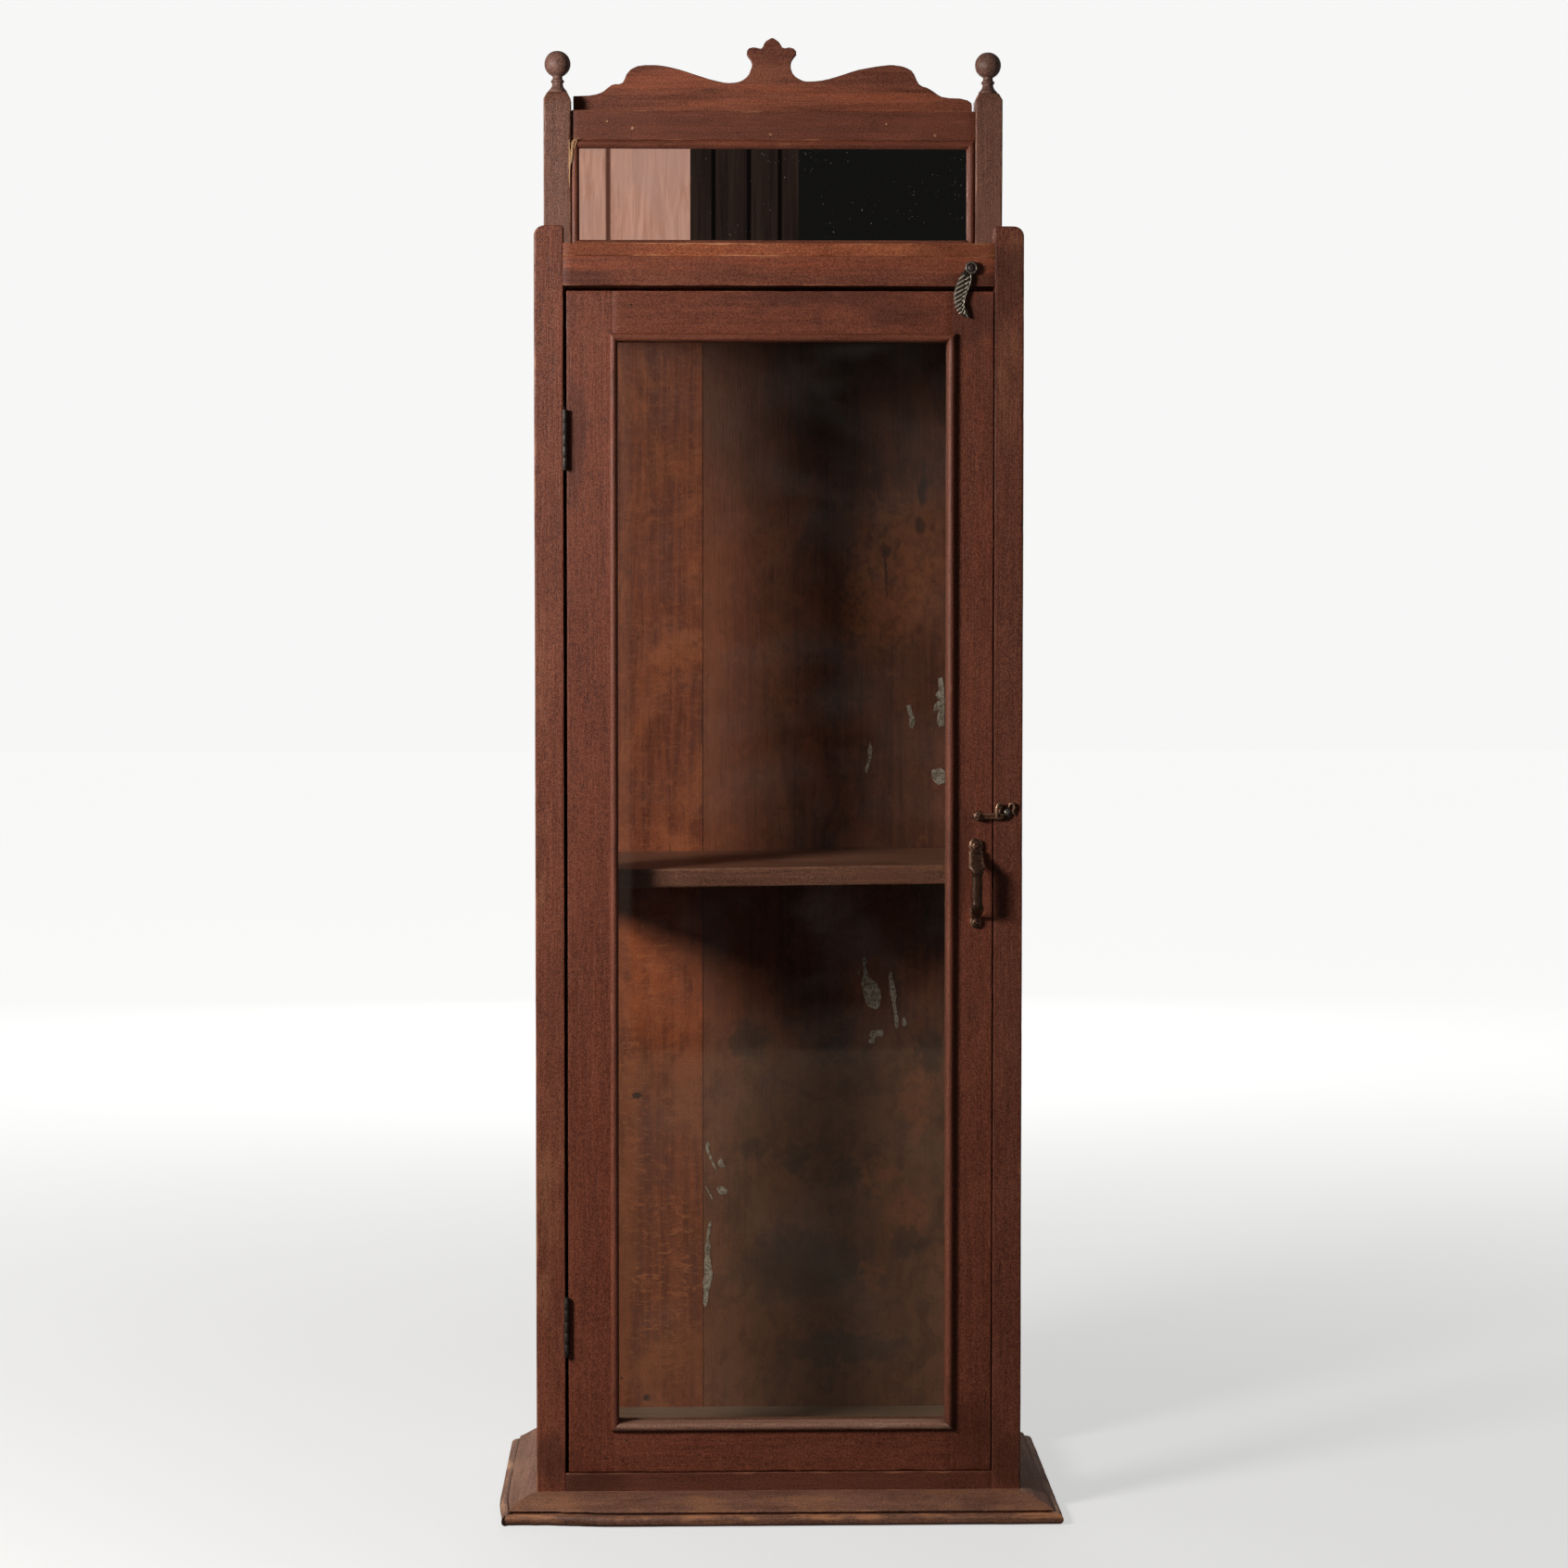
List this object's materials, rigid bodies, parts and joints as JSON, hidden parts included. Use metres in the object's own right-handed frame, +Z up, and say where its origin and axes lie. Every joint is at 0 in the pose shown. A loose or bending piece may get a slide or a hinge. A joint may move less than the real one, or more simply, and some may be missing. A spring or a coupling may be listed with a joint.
{
  "type": "glazed cabinet with mirrored gallery",
  "caption": "Tall narrow wooden cabinet with a glazed door and glazed sides, an inner shelf, a moulded base and a mirrored gallery with a scrolled crest and ball finials.",
  "frame": {"origin": "on the floor, at the middle of the object's bounding box", "axes": "+X to the viewer's right, the door faces -Y, +Z up"},
  "size_m": [0.49, 0.244, 1.316],
  "materials": {
    "wood_red": "old red-brown stain, rubbed and grimy, satin",
    "wood_dark": "dark unfinished or grimy boards, dull",
    "wood_worn": "red-brown stain worn to lighter wood, satin",
    "glass": "old clear sheet glass",
    "mirror": "old silvered mirror with small spots",
    "iron": "dark oxidised iron",
    "bronze": "dark bronzed brass, dull",
    "antique_brass": "cast, greyed brass with bright ridges"
  },
  "bodies": {
    "case": {"front_post_left": "wood_red", "front_post_right": "wood_red", "back_post_left": "wood_red", "back_post_right": "wood_red", "finial_left": "wood_dark", "finial_right": "wood_dark", "side_glass_left": "glass", "side_glass_right": "glass", "side_rail_top_left": "wood_red", "side_rail_top_right": "wood_red", "side_rail_bottom_left": "wood_red", "side_rail_bottom_right": "wood_red", "back_board_left": "wood_dark", "back_board_right": "wood_dark", "top_board": "wood_worn", "top_front_rail": "wood_red", "bottom_front_rail": "wood_red", "bottom_board": "wood_dark", "shelf": "wood_dark", "shelf_cleat_left": "wood_dark", "shelf_cleat_right": "wood_dark", "base_moulding_front": "wood_worn", "base_moulding_left": "wood_worn", "base_moulding_right": "wood_worn", "glue_blocks": "wood_dark", "gallery_top_rail": "wood_red", "gallery_bottom_rail": "wood_red", "crest_board": "wood_red", "mirror_glass": "mirror", "mirror_backing": "wood_dark", "mirror_bead_top": "wood_red", "mirror_bead_bottom": "wood_red", "mirror_bead_left": "wood_red", "mirror_bead_right": "wood_red", "hinge_upper_case_leaf": "iron", "hinge_lower_case_leaf": "iron", "hinge_pins": "iron", "case_hinge_screws": "iron", "latch_keeper": "iron", "keeper_screw": "iron", "turn_button_screw": "iron", "crest_screws": "iron", "case_nails": "iron"},
    "door": {"door_stile_left": "wood_red", "door_stile_right": "wood_red", "door_rail_top": "wood_red", "door_rail_bottom": "wood_red", "door_glass": "glass", "glass_bead_top": "wood_red", "glass_bead_bottom": "wood_red", "glass_bead_left": "wood_red", "glass_bead_right": "wood_red", "glass_fillets": "wood_dark", "hinge_upper_door_leaf": "iron", "hinge_lower_door_leaf": "iron", "door_hinge_screws": "iron", "door_pull": "bronze", "door_screws": "iron"},
    "latch_bar": {"latch_bar": "bronze"},
    "turn_button": {"turn_button": "antique_brass"}
  },
  "joints": [
    {"name": "door_hinge", "type": "hinge", "parent": "case", "child": "door", "pos_m": [-0.1845, -0.0904, 0.5515], "axis": [0, 0, -1], "range_deg": [0, 175]},
    {"name": "latch_pivot", "type": "hinge", "parent": "door", "child": "latch_bar", "pos_m": [0.1718, -0.0915, 0.6114], "axis": [0, -1, 0], "range_deg": [0, 100]},
    {"name": "turn_button_pivot", "type": "hinge", "parent": "case", "child": "turn_button", "pos_m": [0.1652, -0.091, 1.0839], "axis": [0, 1, 0], "continuous": true}
  ]
}
